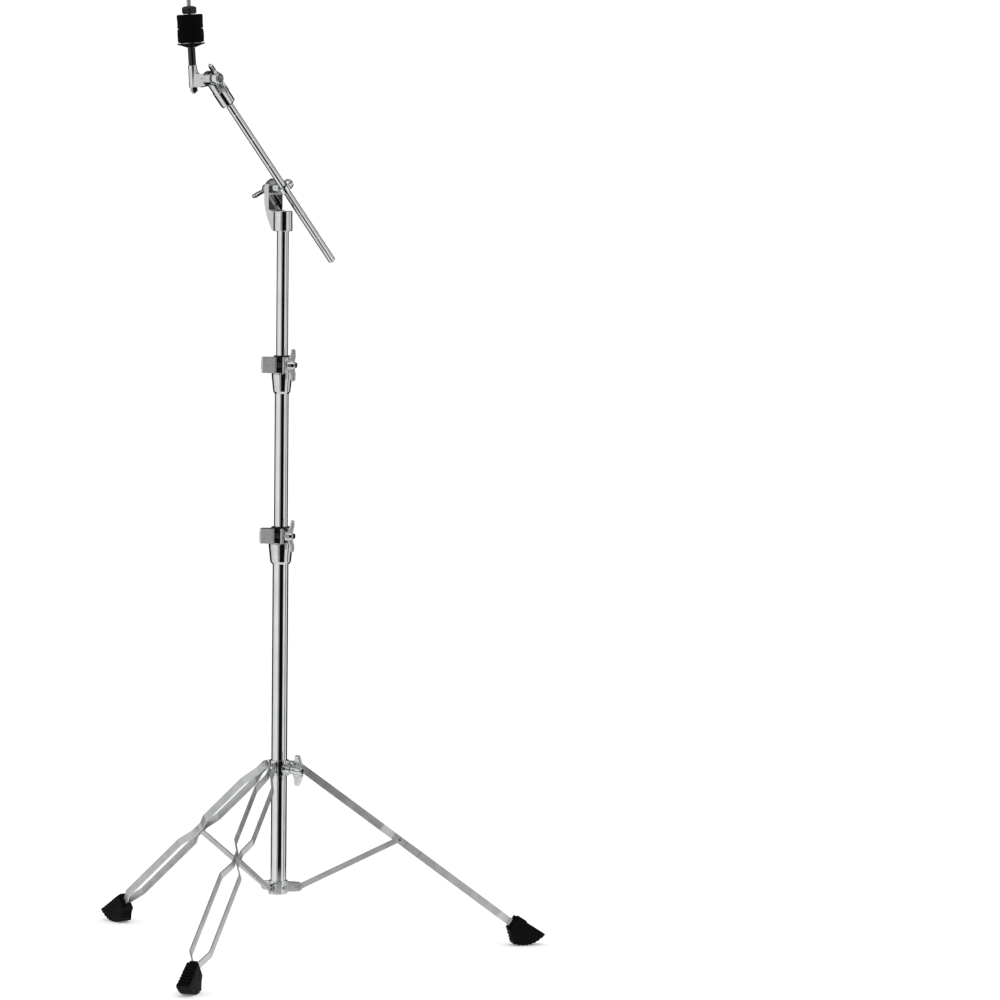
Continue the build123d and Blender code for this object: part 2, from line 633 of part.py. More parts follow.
def stack_arm():
    """The tilter arm: a ratchet disc, a web and the upright post of the cymbal stack."""
    disc = rod_along((ARM_FACE - 5.0, 0, 0), (1, 0, 0), HEAD_R, 5.0)
    web = plate(
        [
            (POST_OFFSET - 5.0, -7.0),
            (POST_OFFSET + 8.0, -13.0),
            (-28.0, -13.5),
            (-12.0, -11.5),
            (ARM_FACE - 2.0, -10.0),
            (ARM_FACE - 2.0, 9.0),
            (-14.0, 7.4),
            (-33.0, 7.4),
            (-37.0, 9.5),
            (POST_OFFSET + 6.0, 16.0),
            (POST_OFFSET, 16.0),
        ],
        8.0,
    )
    arm = disc + web
    arm = TILTER_FRAME.location * arm
    post = turned([(0, -13.4), (7.2, -13.4), (7.2, -6.0), (7.0, -5.0), (7.0, 20.7), (6.2, 21.5), (0, 21.5)])
    arm += STACK_FRAME.location * post
    arm -= STACK_FRAME.location * Cylinder(STACK_ROD_R, 80)
    arm -= TILTER_FRAME.location * rod_along((-22, 0, 0), (1, 0, 0), SCREW_R, 30)
    save("stack_arm", arm)
    stud = rod_along((-22, 0, 0), (1, 0, 0), SCREW_R, 44)
    save("tilter_stud", TILTER_FRAME.location * stud)
    nut_frame = Plane(origin=(SOCKET_OUT + 0.4, 0, 0), x_dir=ROD_DIR, z_dir=(1, 0, 0))
    nut = nut_frame.location * wing_nut(10.0, 12.0, 28.0, 1.2, 4.2, 8.2, 6.0)
    save("tilter_wing_nut", TILTER_FRAME.location * nut)


def cymbal_stack():
    """The threaded rod and everything that is stacked on it."""
    place = STACK_FRAME.location
    save("stack_rod", place * turned([(0, -23.0), (3.0, -23.0), (3.0, 123.6), (2.0, 124.6), (0, 124.6)]))
    nut = extrude(RegularPolygon(5.0 / cos(radians(30)), 6), 6.8)
    nut -= Cylinder(STACK_ROD_R, 20)
    save("stack_lower_nut", place * Pos(0, 0, -20.4) * nut)
    bore = STACK_ROD_R + RUNNING
    save("stack_stem", place * turned([(bore, 21.7), (5.9, 21.7), (5.9, 48.2), (5.2, 49.0), (bore, 49.0)]))
    dish = turned(
        [
            (bore, 49.2),
            (7.4, 49.2),
            (8.6, 50.0),
            (22.0, 54.6),
            (22.0, 56.0),
            (8.0, 51.6),
            (bore, 51.6),
        ]
    )
    save("stack_dish", place * dish)
    save("stack_washer", place * ring(bore, 15.5, 54.1, 56.7))
    save("stack_sleeve", place * ring(bore, 5.0, 56.8, 99.0))
    for name, bottom in (
        ("felt_lower", FELT_BOTTOM),
        ("felt_upper", FELT_BOTTOM + FELT_THICK + 0.1),
    ):
        felt = ring(5.1, FELT_R, bottom, bottom + FELT_THICK)
        outer = felt.edges().filter_by(GeomType.CIRCLE).sort_by(SortBy.RADIUS)[-2:]
        save(name, place * fillet(outer, 2.0))
    save("top_nut", place * top_nut(FELT_BOTTOM + 2 * FELT_THICK + 0.7))


def top_nut(bottom):
    """The plastic nut on top of the felts: a skirt with two low lobes."""
    skirt = Cylinder(9.5, 9.0, align=UP)
    dome = turned([(0, 1.5), (13.0, 1.5), (13.0, 9.0), (11.5, 11.0), (5.0, 12.4), (0, 12.4)])
    nut = skirt + (dome & Box(30.0, 10.0, 40.0))
    nut -= Cylinder(STACK_ROD_R + SCREW_CLEARANCE, 40)
    return Pos(0, 0, bottom) * nut


def report_numbers():
    """Print what the record needs to know about the mechanism."""
    print("leg angle", round(LEG_ANGLE, 3), "brace angle", round(BRACE_ANGLE, 3))
    print("leg hinge to pivot", round(LEG_UPPER, 3), "brace length", round(BRACE_LENGTH, 3))
    print("collar travel", round(COLLAR_TRAVEL, 3))
    print("leg turn", round(LEG_ANGLE - FOLDED_LEG_ANGLE, 4))
    print("brace turn", round(BRACE_ANGLE - FOLDED_BRACE_ANGLE, 4))
    print("tilter at", TILTER_FRAME.origin, "stack at", STACK_FRAME.origin, STACK_FRAME.z_dir)


os.makedirs("parts", exist_ok=True)
tubes()
lower_hub()
braces()
tripod_collar()
legs()
height_clamps()
boom_bracket()
boom_tilter()
boom_rod()
boom_socket()
stack_arm()
cymbal_stack()
report_numbers()
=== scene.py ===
# %% [markdown]
# # Cymbal boom stand
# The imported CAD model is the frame: tubes, clamps, legs and the cymbal tilter, each on the
# body it moves with. This notebook gives every part its finish and replaces the soft and
# cast parts with detailed meshes. All lengths are worked out in millimetres and turned into
# Blender's metres once, where a mesh is made.

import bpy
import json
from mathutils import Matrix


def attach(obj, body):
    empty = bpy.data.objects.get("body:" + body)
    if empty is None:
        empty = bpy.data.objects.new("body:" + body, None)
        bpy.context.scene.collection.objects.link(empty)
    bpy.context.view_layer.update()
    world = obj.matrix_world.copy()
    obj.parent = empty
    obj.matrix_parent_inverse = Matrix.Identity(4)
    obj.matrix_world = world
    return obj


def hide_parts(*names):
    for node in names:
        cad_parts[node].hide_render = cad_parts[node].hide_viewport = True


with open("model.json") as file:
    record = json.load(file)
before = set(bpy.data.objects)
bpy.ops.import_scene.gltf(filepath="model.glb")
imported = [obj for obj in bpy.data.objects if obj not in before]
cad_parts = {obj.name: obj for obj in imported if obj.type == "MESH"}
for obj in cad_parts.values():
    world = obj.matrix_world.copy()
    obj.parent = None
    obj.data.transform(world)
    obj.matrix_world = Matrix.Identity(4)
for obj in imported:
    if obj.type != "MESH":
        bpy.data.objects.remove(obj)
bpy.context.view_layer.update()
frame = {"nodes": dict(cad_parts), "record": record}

# %% Imports and units
import json
import math
from math import cos, pi, radians, sin

import bmesh
import bpy
from mathutils import Matrix, Vector, noise

MM = 0.001
scene = bpy.context.scene

# %% [markdown]
# The camera stands 7 m in front of the tubes at chest height, with a long lens, so the
# uprights stay almost parallel. It is turned to the right, which leaves the stand in the
# left half of the picture, and it looks slightly down at the feet.

# %% Camera
CAMERA_DISTANCE = 7.04
CAMERA_SIDE = 0.0027
CAMERA_HEIGHT = 1.1836
CAMERA_LENS = 158.9
CAMERA_YAW = 2.824
CAMERA_PITCH = -3.677
CAMERA_ROLL = 0.586

camera_data = bpy.data.cameras.new("studio_camera")
camera_data.lens = CAMERA_LENS
camera_data.sensor_width = 36.0
camera = bpy.data.objects.new("studio_camera", camera_data)
scene.collection.objects.link(camera)
look = Vector(
    (
        sin(radians(CAMERA_YAW)) * cos(radians(CAMERA_PITCH)),
        cos(radians(CAMERA_YAW)) * cos(radians(CAMERA_PITCH)),
        sin(radians(CAMERA_PITCH)),
    )
)
aimed = look.to_track_quat("-Z", "Y").to_matrix().to_4x4()
rolled = aimed @ Matrix.Rotation(radians(CAMERA_ROLL), 4, "Z")
standing = Matrix.Translation((CAMERA_SIDE, -CAMERA_DISTANCE, CAMERA_HEIGHT))
camera.matrix_world = standing @ rolled
scene.camera = camera
print("camera", CAMERA_DISTANCE, "m away, lens", CAMERA_LENS, "mm")

# %% [markdown]
# Chrome shows its surroundings, so the studio matters as much as the metal. The room is
# white, with a black screen behind the camera, a grey one on its left, a thin black one on
# its right and a dark far side. A round tube shows the black screen as a sharp streak down
# its middle and the far side as thin dark lines at its edges. Only reflections see these
# screens. The camera itself sees plain white behind the stand.


# %% A helper that adds one shader node
def add_node(tree, kind, values=None, links=None, **settings):
    """Add a node, set its properties and input values, and link its inputs."""
    node = tree.nodes.new(kind)
    for key, value in settings.items():
        setattr(node, key, value)
    for key, value in (values or {}).items():
        node.inputs[key].default_value = value
    for key, source in (links or {}).items():
        tree.links.new(source, node.inputs[key])
    return node


def linear(hex_colour):
    """An sRGB hex colour as linear RGBA."""
    channels = [int(hex_colour[i : i + 2], 16) / 255 for i in (0, 2, 4)]
    return [c / 12.92 if c <= 0.04045 else ((c + 0.055) / 1.055) ** 2.4 for c in channels] + [1.0]


def fill_ramp(ramp, stops):
    """Give a colour ramp its stops: (position, brightness or colour)."""
    elements = ramp.color_ramp.elements
    while len(elements) > 1:
        elements.remove(elements[-1])
    for index, (position, colour) in enumerate(stops):
        element = elements[0] if index == 0 else elements.new(position)
        element.position = position
        element.color = colour if isinstance(colour, list) else [colour, colour, colour, 1.0]


# %% Brightness round the room
# degrees round from the camera (minus is its left), brightness there
ROOM_BRIGHTNESS = [
    (-180, 0.01),
    (-118, 0.01),
    (-110, 0.8),
    (-70, 1.0),
    (-34, 1.05),
    (-26, 0.45),
    (-12, 0.4),
    (-8, 0.005),
    (38, 0.005),
    (46, 0.9),
    (72, 1.0),
    (76, 0.06),
    (84, 0.06),
    (89, 0.95),
    (110, 0.8),
    (118, 0.01),
]


def room_brightness(tree, place):
    """The brightness round the room, by the direction of a point seen from above."""
    axes = add_node(tree, "ShaderNodeSeparateXYZ", links={0: place})
    toward = add_node(tree, "ShaderNodeMath", {0: 0.0}, {1: axes.outputs["Y"]}, operation="SUBTRACT")
    angle = add_node(
        tree, "ShaderNodeMath", links={0: axes.outputs["X"], 1: toward.outputs[0]}, operation="ARCTAN2"
    )
    part_turn = add_node(
        tree, "ShaderNodeMath", {1: 1 / (2 * pi), 2: 0.5}, {0: angle.outputs[0]}, operation="MULTIPLY_ADD"
    )
    wall = add_node(tree, "ShaderNodeValToRGB", links={0: part_turn.outputs[0]})
    fill_ramp(wall, [(degrees_round / 360 + 0.5, level) for degrees_round, level in ROOM_BRIGHTNESS])
    return wall.outputs["Color"], axes


def fade(tree, value, start, end, near, far):
    """Blend from one colour or level to another as a value goes from start to end."""
    share = add_node(tree, "ShaderNodeMapRange", {"From Min": start, "From Max": end}, {"Value": value})
    values, links = {}, {0: share.outputs[0]}
    for key, colour in ((6, near), (7, far)):
        if isinstance(colour, float):
            values[key] = [colour, colour, colour, 1.0]
        else:
            links[key] = colour
    return add_node(tree, "ShaderNodeMix", values, links, data_type="RGBA").outputs[2]


# %% Walls and ceiling
CEILING_LEVEL = 0.3
BACKGROUND_WHITE = 1.05
world = bpy.data.worlds.new("white_studio")
world.use_nodes = True
scene.world = world
room = world.node_tree
room.nodes.clear()
direction = add_node(room, "ShaderNodeTexCoord").outputs["Generated"]
walls, direction_axes = room_brightness(room, direction)
surround = fade(room, direction_axes.outputs["Z"], 0.45, 0.75, walls, CEILING_LEVEL)
rays = add_node(room, "ShaderNodeLightPath").outputs
plain = add_node(
    room, "ShaderNodeBackground", {"Color": [1.0, 1.0, 1.0, 1.0], "Strength": BACKGROUND_WHITE}
)
mirrored = add_node(room, "ShaderNodeBackground", {"Strength": 1.0}, {"Color": surround})
mixed = add_node(
    room,
    "ShaderNodeMixShader",
    links={0: rays["Is Glossy Ray"], 1: plain.outputs[0], 2: mirrored.outputs[0]},
)
add_node(room, "ShaderNodeOutputWorld", links={"Surface": mixed.outputs[0]})
scene.view_settings.view_transform = "Standard"
print("room with", len(ROOM_BRIGHTNESS), "brightness steps")

# %% [markdown]
# One big softbox overhead gives the floor its faint contact shadows and puts highlights on
# the tops of the clamps. The floor is plain matte white.


# %% Softbox and floor
def softbox(name, place, aim, size, power):
    """A square area light that looks at a point."""
    data = bpy.data.lights.new(name, "AREA")
    data.energy = power
    data.size = size
    light = bpy.data.objects.new(name, data)
    turned = (Vector(aim) - Vector(place)).to_track_quat("-Z", "Y")
    light.matrix_world = Matrix.Translation(place) @ turned.to_matrix().to_4x4()
    scene.collection.objects.link(light)


softbox("softbox_overhead", (0.4, -1.6, 3.6), (0.0, 0.0, 0.6), 2.4, 15)

floor_mesh = bpy.data.meshes.new("studio_floor")
FLOOR_HALF = 14.0
corners = [(FLOOR_HALF * x, FLOOR_HALF * y, 0) for x, y in ((-1, -1), (1, -1), (1, 1), (-1, 1))]
floor_mesh.from_pydata(corners, [], [(0, 1, 2, 3)])
studio_floor = bpy.data.objects.new("studio_floor", floor_mesh)
scene.collection.objects.link(studio_floor)
print("floor", 2 * FLOOR_HALF, "m square")

# %% [markdown]
# ## Finishes
# Patterns read Object coordinates, which are metres here, so a pattern of a given size in
# millimetres needs the scale that `per_mm` works out.


# %% Material helpers
def per_mm(size):
    """The texture scale that makes one feature about this many millimetres."""
    return 1.0 / (size * MM)


def new_material(name):
    """A material with an empty tree, its object coordinates and its shader."""
    material = bpy.data.materials.new(name)
    material.use_nodes = True
    tree = material.node_tree
    tree.nodes.clear()
    place = add_node(tree, "ShaderNodeTexCoord").outputs["Object"]
    shader = add_node(tree, "ShaderNodeBsdfPrincipled")
    add_node(tree, "ShaderNodeOutputMaterial", links={"Surface": shader.outputs[0]})
    return material, tree, place, shader


# %% [markdown]
# **Chrome plated steel tube.** Drawn steel tube is ground, polished, then plated with nickel
# and a thin chromium layer. It mirrors its surroundings almost perfectly. Only faint handling
# smears and a long shallow waviness keep it from looking like a computer's mirror.


# %% Chrome plated tube
def chrome_plated_tube():
    material, tree, place, shader = new_material("chrome_plated_tube")
    smears = add_node(
        tree, "ShaderNodeTexNoise", {"Scale": per_mm(34.0), "Detail": 3.0}, {"Vector": place}
    ).outputs[0]
    tint = add_node(tree, "ShaderNodeValToRGB", links={0: smears})
    fill_ramp(tint, [(0.35, linear("D3D5D6")), (0.65, linear("DDDEDF"))])
    tree.links.new(tint.outputs["Color"], shader.inputs["Base Color"])
    gloss = add_node(
        tree,
        "ShaderNodeMapRange",
        {"From Min": 0.3, "From Max": 0.7, "To Min": 0.02, "To Max": 0.055},
        {"Value": smears},
    )
    tree.links.new(gloss.outputs[0], shader.inputs["Roughness"])
    shader.inputs["Metallic"].default_value = 1.0
    relief = add_node(
        tree, "ShaderNodeTexNoise", {"Scale": per_mm(14.0), "Detail": 1.0}, {"Vector": place}
    ).outputs[0]
    bump = add_node(tree, "ShaderNodeBump", {"Distance": 0.008 * MM}, {"Height": relief})
    tree.links.new(bump.outputs[0], shader.inputs["Normal"])
    return material


# %% [markdown]
# **Chromed strip.** The leg straps and braces are slit from flat strip, bent and plated
# with little polishing. The rolled grain under the plating blurs the mirror to a soft grey.


# %% Chromed steel strip
def chromed_steel_strip():
    material, tree, place, shader = new_material("chromed_steel_strip")
    smears = add_node(
        tree, "ShaderNodeTexNoise", {"Scale": per_mm(22.0), "Detail": 3.0}, {"Vector": place}
    ).outputs[0]
    tint = add_node(tree, "ShaderNodeValToRGB", links={0: smears})
    fill_ramp(tint, [(0.35, linear("C4C6C7")), (0.65, linear("D4D5D6"))])
    tree.links.new(tint.outputs["Color"], shader.inputs["Base Color"])
    gloss = add_node(
        tree,
        "ShaderNodeMapRange",
        {"From Min": 0.3, "From Max": 0.7, "To Min": 0.44, "To Max": 0.52},
        {"Value": smears},
    )
    tree.links.new(gloss.outputs[0], shader.inputs["Roughness"])
    shader.inputs["Metallic"].default_value = 1.0
    rounded = add_node(tree, "ShaderNodeBevel", {"Radius": 0.5 * MM}, samples=4).outputs[0]
    relief = add_node(
        tree, "ShaderNodeTexNoise", {"Scale": per_mm(0.9), "Detail": 2.0}, {"Vector": place}
    ).outputs[0]
    bump = add_node(tree, "ShaderNodeBump", {"Distance": 0.01 * MM}, {"Height": relief, "Normal": rounded})
    tree.links.new(bump.outputs[0], shader.inputs["Normal"])
    return material


# %% [markdown]
# **Chromed zinc die casting.** Clamps, bracket and wing nuts are cast in zinc, tumbled and
# plated. Tumbling rounds every edge a little and leaves a softer, slightly rippled mirror.


# %% Chromed die casting
def chromed_die_casting():
    material, tree, place, shader = new_material("chromed_die_casting")
    ripple = add_node(
        tree, "ShaderNodeTexNoise", {"Scale": per_mm(5.0), "Detail": 2.0}, {"Vector": place}
    ).outputs[0]
    tint = add_node(tree, "ShaderNodeValToRGB", links={0: ripple})
    fill_ramp(tint, [(0.35, linear("C9CBCC")), (0.65, linear("D6D7D8"))])
    tree.links.new(tint.outputs["Color"], shader.inputs["Base Color"])
    gloss = add_node(
        tree,
        "ShaderNodeMapRange",
        {"From Min": 0.3, "From Max": 0.7, "To Min": 0.035, "To Max": 0.08},
        {"Value": ripple},
    )
    tree.links.new(gloss.outputs[0], shader.inputs["Roughness"])
    shader.inputs["Metallic"].default_value = 1.0
    rounded = add_node(tree, "ShaderNodeBevel", {"Radius": 0.5 * MM}, samples=4).outputs[0]
    bump = add_node(tree, "ShaderNodeBump", {"Distance": 0.015 * MM}, {"Height": ripple, "Normal": rounded})
    tree.links.new(bump.outputs[0], shader.inputs["Normal"])
    return material


# %% [markdown]
# **Bright zinc plated steel.** Screws, rivets and washers are cold headed and barrel plated,
# which leaves them greyer and duller than the chrome, with a fine turned grain.


# %% Zinc plated fasteners
def zinc_plated_steel():
    material, tree, place, shader = new_material("zinc_plated_steel")
    grain = add_node(
        tree, "ShaderNodeTexNoise", {"Scale": per_mm(0.7), "Detail": 3.0}, {"Vector": place}
    ).outputs[0]
    patches = add_node(
        tree, "ShaderNodeTexNoise", {"Scale": per_mm(6.0), "Detail": 2.0}, {"Vector": place}
    ).outputs[0]
    tint = add_node(tree, "ShaderNodeValToRGB", links={0: patches})
    fill_ramp(tint, [(0.35, linear("A9ABAD")), (0.65, linear("C2C4C5"))])
    tree.links.new(tint.outputs["Color"], shader.inputs["Base Color"])
    gloss = add_node(
        tree,
        "ShaderNodeMapRange",
        {"From Min": 0.3, "From Max": 0.7, "To Min": 0.18, "To Max": 0.3},
        {"Value": patches},
    )
    tree.links.new(gloss.outputs[0], shader.inputs["Roughness"])
    shader.inputs["Metallic"].default_value = 1.0
    bump = add_node(tree, "ShaderNodeBump", {"Distance": 0.02 * MM}, {"Height": grain})
    tree.links.new(bump.outputs[0], shader.inputs["Normal"])
    return material


# %% [markdown]
# **Moulded black nylon.** Bushings, plugs, the sleeve and the top nut are injection moulded.
# Spark-eroded moulds leave a fine even grain and a satin face.


# %% Moulded nylon
def moulded_black_nylon():
    material, tree, place, shader = new_material("moulded_black_nylon")
    grain = add_node(
        tree, "ShaderNodeTexNoise", {"Scale": per_mm(0.45), "Detail": 2.0}, {"Vector": place}
    ).outputs[0]
    wear = add_node(
        tree, "ShaderNodeTexNoise", {"Scale": per_mm(11.0), "Detail": 3.0}, {"Vector": place}
    ).outputs[0]
    tint = add_node(tree, "ShaderNodeValToRGB", links={0: wear})
    fill_ramp(tint, [(0.35, linear("020203")), (0.65, linear("060607"))])
    tree.links.new(tint.outputs["Color"], shader.inputs["Base Color"])
    gloss = add_node(
        tree,
        "ShaderNodeMapRange",
        {"From Min": 0.3, "From Max": 0.7, "To Min": 0.34, "To Max": 0.5},
        {"Value": wear},
    )
    tree.links.new(gloss.outputs[0], shader.inputs["Roughness"])
    bump = add_node(tree, "ShaderNodeBump", {"Distance": 0.05 * MM}, {"Height": grain})
    tree.links.new(bump.outputs[0], shader.inputs["Normal"])
    return material


# %% [markdown]
# **Black lacquered steel.** The short stem under the felts is turned steel with a satin
# black coat, smoother than the nylon and with a touch of orange peel.


# %% Black lacquer
def black_lacquered_steel():
    material, tree, place, shader = new_material("black_lacquered_steel")
    peel = add_node(
        tree, "ShaderNodeTexNoise", {"Scale": per_mm(1.6), "Detail": 1.0}, {"Vector": place}
    ).outputs[0]
    tint = add_node(tree, "ShaderNodeValToRGB", links={0: peel})
    fill_ramp(tint, [(0.35, linear("040405")), (0.65, linear("08090A"))])
    tree.links.new(tint.outputs["Color"], shader.inputs["Base Color"])
    gloss = add_node(
        tree,
        "ShaderNodeMapRange",
        {"From Min": 0.3, "From Max": 0.7, "To Min": 0.22, "To Max": 0.3},
        {"Value": peel},
    )
    tree.links.new(gloss.outputs[0], shader.inputs["Roughness"])
    bump = add_node(tree, "ShaderNodeBump", {"Distance": 0.02 * MM}, {"Height": peel})
    tree.links.new(bump.outputs[0], shader.inputs["Normal"])
    return material


# %% [markdown]
# **Moulded rubber.** The feet are compression moulded black rubber: matte, a little chalky
# where the bloom and dust settle, with a fine pebble from the mould.


# %% Rubber
def moulded_rubber():
    material, tree, place, shader = new_material("moulded_rubber")
    pebble = add_node(
        tree, "ShaderNodeTexNoise", {"Scale": per_mm(0.8), "Detail": 2.0}, {"Vector": place}
    ).outputs[0]
    bloom = add_node(
        tree, "ShaderNodeTexNoise", {"Scale": per_mm(14.0), "Detail": 4.0, "Roughness": 0.6}, {"Vector": place}
    ).outputs[0]
    tint = add_node(tree, "ShaderNodeValToRGB", links={0: bloom})
    fill_ramp(tint, [(0.35, linear("010101")), (0.65, linear("040404"))])
    tree.links.new(tint.outputs["Color"], shader.inputs["Base Color"])
    gloss = add_node(
        tree,
        "ShaderNodeMapRange",
        {"From Min": 0.3, "From Max": 0.7, "To Min": 0.55, "To Max": 0.78},
        {"Value": bloom},
    )
    tree.links.new(gloss.outputs[0], shader.inputs["Roughness"])
    shader.inputs["Specular IOR Level"].default_value = 0.12
    bump = add_node(tree, "ShaderNodeBump", {"Distance": 0.08 * MM}, {"Height": pebble})
    tree.links.new(bump.outputs[0], shader.inputs["Normal"])
    return material


# %% [markdown]
# **Pressed wool felt.** Felt is matted fibre: no weave, a soft outline and a sheen of loose
# hairs that brightens its edges. The fibres are a few hundredths of a millimetre thick, too
# fine to show, so they are drawn as tufts of about a millimetre.


# %% Felt
def pressed_wool_felt():
    material, tree, place, shader = new_material("pressed_wool_felt")
    tufts = add_node(
        tree, "ShaderNodeTexNoise", {"Scale": per_mm(1.3), "Detail": 6.0, "Roughness": 0.7}, {"Vector": place}
    ).outputs[0]
    tint = add_node(tree, "ShaderNodeValToRGB", links={0: tufts})
    fill_ramp(tint, [(0.3, linear("010202")), (0.72, linear("060807"))])
    tree.links.new(tint.outputs["Color"], shader.inputs["Base Color"])
    shader.inputs["Roughness"].default_value = 0.95
    shader.inputs["Specular IOR Level"].default_value = 0.03
    shader.inputs["Sheen Weight"].default_value = 0.012
    shader.inputs["Sheen Roughness"].default_value = 0.6
    bump = add_node(tree, "ShaderNodeBump", {"Distance": 0.5 * MM}, {"Height": tufts})
    tree.links.new(bump.outputs[0], shader.inputs["Normal"])
    return material


# %% [markdown]
# ** Studio floor.** A matte board, so light that it merges with the wall. In the polished
# parts it shows a painted reflection: for glossy rays it glows with the screens of the room,
# as if they stood on it: near the stand it is white, further out it takes the brightness of
# that side of the room.


# %% Floor paint
NEAR_FLOOR_LEVEL = 1.0
NEAR_FLOOR_RADIUS = (0.45, 0.95)


def matte_floor_paint():
    material, tree, place, shader = new_material("matte_floor_paint")
    shader.inputs["Base Color"].default_value = linear("F4F4F4")
    shader.inputs["Roughness"].default_value = 0.9
    shader.inputs["Specular IOR Level"].default_value = 0.1
    shader.inputs["Emission Color"].default_value = [1.0, 1.0, 1.0, 1.0]
    shader.inputs["Emission Strength"].default_value = 0.16
    walls, axes = room_brightness(tree, place)
    reach = add_node(
        tree, "ShaderNodeVectorMath", links={0: place}, operation="LENGTH"
    ).outputs["Value"]
    # Painted reflection: seen only in the chrome, the floor glows with the room's brightness instead of
    # showing its own lit surface.
    mirrored_room_glow = fade(tree, reach, *NEAR_FLOOR_RADIUS, NEAR_FLOOR_LEVEL, walls)
    glow = add_node(tree, "ShaderNodeEmission", {"Strength": 1.0}, {"Color": mirrored_room_glow})
    rays = add_node(tree, "ShaderNodeLightPath").outputs
    mixed = add_node(
        tree,
        "ShaderNodeMixShader",
        links={0: rays["Is Glossy Ray"], 1: shader.outputs[0], 2: glow.outputs[0]},
    )
    output = next(node for node in tree.nodes if node.type == "OUTPUT_MATERIAL")
    tree.links.new(mixed.outputs[0], output.inputs["Surface"])
    return material


# %% Give every CAD node the finish of its slot
FINISHES = {
    "polished_chrome": chrome_plated_tube(),
    "chromed_casting": chromed_die_casting(),
    "bright_steel": zinc_plated_steel(),
    "black_plastic": moulded_black_nylon(),
    "black_metal": black_lacquered_steel(),
    "foot_rubber": moulded_rubber(),
    "black_felt": pressed_wool_felt(),
}
floor_mesh.materials.append(matte_floor_paint())
FINISHES["chromed_strip"] = chromed_steel_strip()
SLOT_OF = {part["node"]: part["material_slot"] for part in frame["record"]["subparts"]}
for name, node in frame["nodes"].items():
    node.data.materials.clear()
    node.data.materials.append(FINISHES[SLOT_OF[name]])
print("finished", len(SLOT_OF), "nodes in", len(FINISHES), "finishes")

# %% [markdown]
# ## Detailed pieces
# The CAD wing nuts, feet and felts are plain solids. Each is replaced by a mesh with the
# soft outline of the real one. Castings and mouldings are built from a few overlapping
# simple solids, then a voxel remesh melts them into one closed skin and a smoothing pass
# rounds the joins, much as a casting's fillets do.


# %% Mesh helpers
def frame_at(origin, x_axis, z_axis, base=None):
    """A placement in millimetres: where its origin is and where its X and Z point."""
    x, z = Vector(x_axis).normalized(), Vector(z_axis).normalized()
    turned = Matrix((x, z.cross(x), z)).transposed().to_4x4()
    placed = Matrix.Translation(Vector(origin)) @ turned
    return base @ placed if base else placed


def lathe(profile, steps=64):
    """The points and faces of a closed turned solid, from an outline of (radius, height)."""
    points, faces, rows = [], [], []
    for radius, height in profile:
        if radius < 1e-6:
            rows.append([len(points)] * steps)
            points.append(Vector((0.0, 0.0, height)))
        else:
            rows.append(list(range(len(points), len(points) + steps)))
            for step in range(steps):
                turned = 2 * pi * step / steps
                points.append(Vector((radius * cos(turned), radius * sin(turned), height)))
    closed = profile[0][0] > 1e-6
    pairs = list(zip(rows, rows[1:])) + ([(rows[-1], rows[0])] if closed else [])
    for low, high in pairs:
        for step in range(steps):
            after = (step + 1) % steps
            corners = [low[step], low[after], high[after], high[step]]
            faces.append(list(dict.fromkeys(corners)))
    return points, [face for face in faces if len(face) > 2]


def slab(outline, thickness, centre=0.0):
    """A flat plate in the XZ plane from an outline of (x, z), as (points, faces)."""
    half = thickness / 2
    count = len(outline)
    points = [Vector((x, centre - half, z)) for x, z in outline]
    points += [Vector((x, centre + half, z)) for x, z in outline]
    faces = [list(range(count)), list(range(2 * count - 1, count - 1, -1))]
    faces += [[i, (i + 1) % count, (i + 1) % count + count, i + count] for i in range(count)]
    return points, faces


def new_piece(name, shells, finish):
    """One object from several closed shells, in metres, with its faces pointing outwards."""
    shape = bmesh.new()
    for points, faces in shells:
        corners = [shape.verts.new(point * MM) for point in points]
        for face in faces:
            shape.faces.new([corners[index] for index in face])
    bmesh.ops.remove_doubles(shape, verts=shape.verts, dist=1e-7)
    bmesh.ops.recalc_face_normals(shape, faces=shape.faces)
    mesh = bpy.data.meshes.new(name)
    shape.to_mesh(mesh)
    shape.free()
    mesh.materials.append(finish)
    piece = bpy.data.objects.new(name, mesh)
    scene.collection.objects.link(piece)
    return piece


def bake(piece):
    """Turn a piece's modifiers into plain mesh and clear them."""
    evaluated = piece.evaluated_get(bpy.context.evaluated_depsgraph_get())
    baked = bpy.data.meshes.new_from_object(evaluated)
    piece.modifiers.clear()
    piece.data = baked
    return piece


def melt(piece, voxel_mm, rounds, holes=()):
    """Fuse a piece's shells into one rounded skin, then drill (placement, radius, length) holes."""
    remesh = piece.modifiers.new("melt", "REMESH")
    remesh.mode = "VOXEL"
    remesh.voxel_size = voxel_mm * MM
    soften = piece.modifiers.new("soften", "SMOOTH")
    soften.factor = 0.5
    soften.iterations = rounds
    bake(piece)
    for placement, radius, length in holes:
        rod = lathe([(0, 0), (radius, 0), (radius, length), (0, length)], 48)
        drill = new_piece("drill", [rod], None)
        drill.data.transform(placement)
        cut = piece.modifiers.new("drill", "BOOLEAN")
        cut.object = drill
        cut.solver = "EXACT"
        bake(piece)
        bpy.data.objects.remove(drill)
    return piece


def smooth(piece, angle=40.0):
    """Shade smooth, but keep edges sharper than an angle."""
    piece.data.polygons.foreach_set("use_smooth", [True] * len(piece.data.polygons))
    piece.data.set_sharp_from_angle(angle=radians(angle))
    return piece


def settle(piece, placement, body, *nodes):
    """Put a finished mesh in its place on its body, in place of its CAD nodes."""
    scaled = placement.copy()
    scaled.translation = placement.translation * MM
    piece.data.transform(scaled)
    piece.data.update()
    if nodes:
        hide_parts(*nodes)
    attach(piece, body)
    print(piece.name, len(piece.data.polygons), "faces on", body)


# %% [markdown]
# **Wing nuts.** Each is one zinc casting: a tapered hub with two wings. The wings are
# slabs that taper towards their tips, so two plates of different thickness overlap in
# each, and the melt blends them into the hub.

